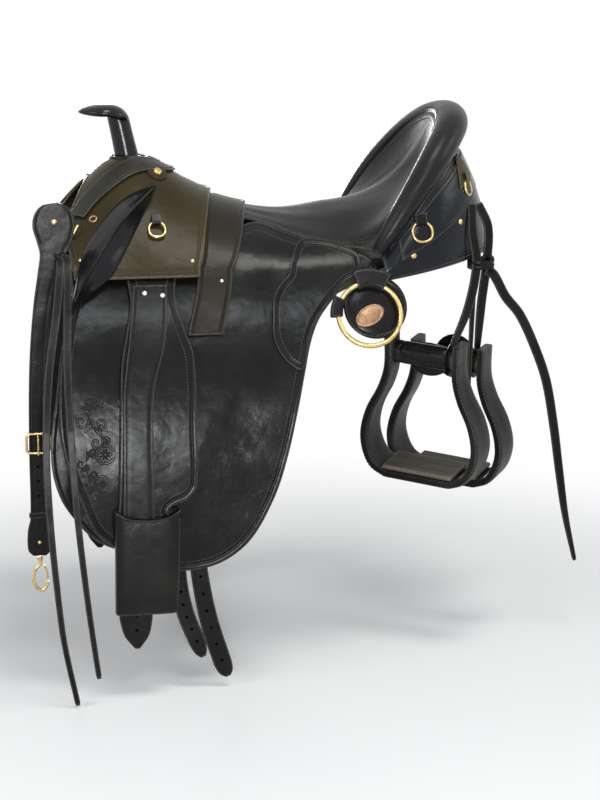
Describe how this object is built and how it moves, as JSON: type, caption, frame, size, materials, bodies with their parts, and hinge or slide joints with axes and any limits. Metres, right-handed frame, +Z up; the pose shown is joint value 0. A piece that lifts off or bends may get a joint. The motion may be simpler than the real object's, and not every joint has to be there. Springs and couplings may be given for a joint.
{
  "type": "stock saddle with horn",
  "caption": "Black leather stock saddle with a capped horn, high cantle, tooled flaps, fenders, flank rings, a breast strap and stirrups tied up behind.",
  "frame": {"origin": "on the horse's spine below the lowest point of the seat, where the panels rest", "axes": "+X from the horn to the cantle, +Y to the off side (the rider's right), +Z up"},
  "size_m": [0.7805, 0.5286, 0.7507],
  "materials": {
    "black_leather": "black smooth bridle leather, satin",
    "seat_leather": "black seat leather, soft sheen",
    "olive_leather": "olive brown waxed leather",
    "blue_black_leather": "blue black polished leather",
    "strap_leather": "black strap leather, matt",
    "panel_felt": "dark felt over stuffed panels",
    "tree_wood": "rawhide covered wood",
    "brass": "polished brass",
    "copper": "worn copper coloured plate, plain"
  },
  "bodies": {
    "saddle": {"cantle_back": "blue_black_leather", "horn_cap": "black_leather", "horn_neck": "black_leather", "near_back_chape": "strap_leather", "near_flap": "black_leather", "near_front_chape": "strap_leather", "near_knee_pad": "black_leather", "near_oval_plate": "copper", "near_panel": "panel_felt", "near_rear_chape": "strap_leather", "near_rear_jockey": "black_leather", "near_ring_disc": "black_leather", "near_ring_hanger": "strap_leather", "near_ring_tab": "strap_leather", "near_sweat_flap": "black_leather", "off_back_chape": "strap_leather", "off_flap": "black_leather", "off_front_chape": "strap_leather", "off_knee_pad": "black_leather", "off_panel": "panel_felt", "off_rear_chape": "strap_leather", "off_rear_jockey": "black_leather", "off_ring_disc": "black_leather", "off_ring_hanger": "strap_leather", "off_ring_tab": "strap_leather", "off_sweat_flap": "black_leather", "overgirth": "black_leather", "pommel_band": "black_leather", "pommel_cover": "olive_leather", "saddle_tree": "tree_wood", "seat": "seat_leather"},
    "near_fender_leg": {"near_fender": "black_leather", "near_stirrup_leather": "strap_leather"},
    "near_sleeve_slider": {"near_sleeve": "strap_leather"},
    "near_girth_straps": {"near_billets": "strap_leather"},
    "near_ring": {"near_flank_ring": "brass"},
    "near_front_dee_ring": {"near_front_dee": "brass"},
    "near_rear_dee_ring": {"near_rear_dee": "brass"},
    "near_back_dee_ring": {"near_back_dee": "brass"},
    "off_fender_leg": {"off_fender": "black_leather", "off_stirrup_leather": "strap_leather"},
    "off_sleeve_slider": {"off_sleeve": "strap_leather"},
    "off_girth_straps": {"off_billets": "strap_leather"},
    "off_ring": {"off_flank_ring": "brass"},
    "off_front_dee_ring": {"off_front_dee": "brass"},
    "off_rear_dee_ring": {"off_rear_dee": "brass"},
    "off_back_dee_ring": {"off_back_dee": "brass"},
    "breast_collar_strap": {"breast_strap": "strap_leather", "breast_buckle": "brass"},
    "snap": {"snap_body": "brass"},
    "gate": {"snap_gate": "brass"},
    "front_strings": {"front_string": "strap_leather"},
    "tied_strings": {"stirrup_strings": "strap_leather", "first_roller_wrap": "strap_leather", "second_roller_wrap": "strap_leather"},
    "long_string": {"rear_long_string": "strap_leather"},
    "first_iron": {"first_stirrup": "black_leather", "first_tread_pad": "strap_leather"},
    "second_iron": {"second_stirrup": "black_leather", "second_tread_pad": "strap_leather"}
  },
  "joints": [
    {"name": "near_fender_swing", "type": "hinge", "parent": "saddle", "child": "near_fender_leg", "pos_m": [-0.212, -0.15128, 0.03299], "axis": [0, 0.9877, -0.1564], "range_deg": [-12, 15]},
    {"name": "near_sleeve_slide", "type": "slide", "parent": "near_fender_leg", "child": "near_sleeve_slider", "axis": [0, -0.0518, -0.9987], "range_m": [0, 0.045]},
    {"name": "near_billet_swing", "type": "hinge", "parent": "saddle", "child": "near_girth_straps", "pos_m": [-0.17, -0.21515, -0.2707], "axis": [0, 1, 0], "range_deg": [-10, 10]},
    {"name": "near_ring_turn", "type": "hinge", "parent": "saddle", "child": "near_ring", "pos_m": [0.08, -0.183, -0.016], "axis": [0, -0.9397, 0.342], "continuous": true},
    {"name": "near_front_dee_lift", "type": "hinge", "parent": "saddle", "child": "near_front_dee_ring", "pos_m": [-0.19286, -0.11846, 0.10458], "axis": [-0.9998, 0.02, 0], "range_deg": [0, 100]},
    {"name": "near_rear_dee_lift", "type": "hinge", "parent": "saddle", "child": "near_rear_dee_ring", "pos_m": [0.15719, -0.14735, 0.09931], "axis": [-0.9907, -0.1101, -0.0801], "range_deg": [0, 100]},
    {"name": "near_back_dee_lift", "type": "hinge", "parent": "saddle", "child": "near_back_dee_ring", "pos_m": [0.23424, -0.0919, 0.148], "axis": [-0.5408, -0.8412, 0], "range_deg": [0, 100]},
    {"name": "off_fender_swing", "type": "hinge", "parent": "saddle", "child": "off_fender_leg", "pos_m": [-0.212, 0.15128, 0.03299], "axis": [0, 0.9877, 0.1564], "range_deg": [-12, 15]},
    {"name": "off_sleeve_slide", "type": "slide", "parent": "off_fender_leg", "child": "off_sleeve_slider", "axis": [0, 0.0518, -0.9987], "range_m": [0, 0.045]},
    {"name": "off_billet_swing", "type": "hinge", "parent": "saddle", "child": "off_girth_straps", "pos_m": [-0.17, 0.21515, -0.2707], "axis": [0, 1, 0], "range_deg": [-10, 10]},
    {"name": "off_ring_turn", "type": "hinge", "parent": "saddle", "child": "off_ring", "pos_m": [0.08, 0.183, -0.016], "axis": [0, 0.9397, 0.342], "continuous": true},
    {"name": "off_front_dee_lift", "type": "hinge", "parent": "saddle", "child": "off_front_dee_ring", "pos_m": [-0.19286, 0.11846, 0.10458], "axis": [0.9998, 0.02, 0], "range_deg": [0, 100]},
    {"name": "off_rear_dee_lift", "type": "hinge", "parent": "saddle", "child": "off_rear_dee_ring", "pos_m": [0.15719, 0.14735, 0.09931], "axis": [0.9907, -0.1101, 0.0801], "range_deg": [0, 100]},
    {"name": "off_back_dee_lift", "type": "hinge", "parent": "saddle", "child": "off_back_dee_ring", "pos_m": [0.23424, 0.0919, 0.148], "axis": [0.5408, -0.8412, 0], "range_deg": [0, 100]},
    {"name": "breast_strap_swing", "type": "hinge", "parent": "saddle", "child": "breast_collar_strap", "pos_m": [-0.332, -0.1255, 0.106], "axis": [0, 1, 0], "range_deg": [-5, 5]},
    {"name": "snap_swivel", "type": "hinge", "parent": "breast_collar_strap", "child": "snap", "pos_m": [-0.3565, -0.127, -0.3395], "axis": [0, 0, 1], "continuous": true},
    {"name": "snap_gate_spring", "type": "hinge", "parent": "snap", "child": "gate", "pos_m": [-0.3513, -0.127, -0.3513], "axis": [0, 1, 0], "range_deg": [0, 24], "stiffness_Nm_per_rad": 0.05, "springref_deg": -11.46},
    {"name": "front_string_swing", "type": "hinge", "parent": "saddle", "child": "front_strings", "pos_m": [-0.31797, -0.14819, 0.05901], "axis": [0, 1, 0], "range_deg": [-1, 15]},
    {"name": "tied_string_swing", "type": "hinge", "parent": "saddle", "child": "tied_strings", "pos_m": [0.242, -0.093, 0.128], "axis": [0, 1, 0], "range_deg": [-15, 2]},
    {"name": "long_string_swing", "type": "hinge", "parent": "tied_strings", "child": "long_string", "pos_m": [0.2695, -0.1085, 0.021], "axis": [0, 1, 0], "range_deg": [-12, 5]},
    {"name": "first_stirrup_swing", "type": "hinge", "parent": "tied_strings", "child": "first_iron", "pos_m": [0.1705, -0.13, -0.084], "axis": [0.7861, -0.6142, -0.0698], "range_deg": [-20, 4]},
    {"name": "second_stirrup_swing", "type": "hinge", "parent": "tied_strings", "child": "second_iron", "pos_m": [0.2247, -0.0607, -0.102], "axis": [0.7861, -0.6142, -0.0698], "range_deg": [-4, 20]}
  ]
}
